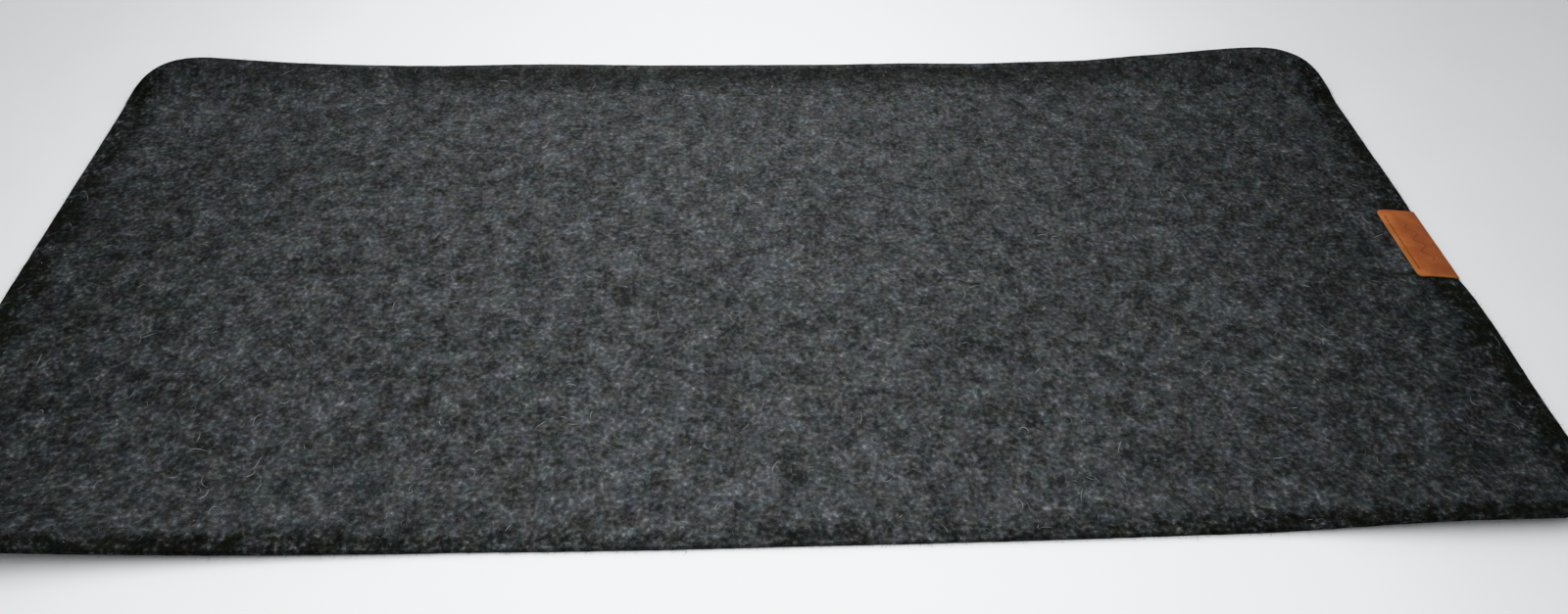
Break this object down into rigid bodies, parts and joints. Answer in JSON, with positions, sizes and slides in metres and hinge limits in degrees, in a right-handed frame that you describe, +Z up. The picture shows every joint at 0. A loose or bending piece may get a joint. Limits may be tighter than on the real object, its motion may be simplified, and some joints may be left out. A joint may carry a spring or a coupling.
{
  "type": "felt desk pad",
  "caption": "Thick felt desk pad with round, slightly curled corners and a folded leather tag sewn over the middle of its right edge.",
  "frame": {"origin": "middle of the outline seen from above, tag included, on the flat underside that lies on the desk", "axes": "+X along the long side to the tag's end, +Y away from the user, +Z up from the desk"},
  "size_m": [0.8014, 0.4, 0.0166],
  "materials": {
    "felt": "needled wool-look felt, charcoal with lighter and darker fibres mottled through it, fuzzy and matt",
    "tag_leather": "smooth tan leather with a fine grain, semi-matt, with paler raw cut edges",
    "tag_thread": "twisted brown sewing thread close to the leather's colour, semi-matt"
  },
  "bodies": {
    "root": {"felt_sheet": "felt", "leather_tag": "tag_leather", "tag_needle_thread": "tag_thread", "tag_bobbin_thread": "tag_thread"}
  },
  "joints": []
}
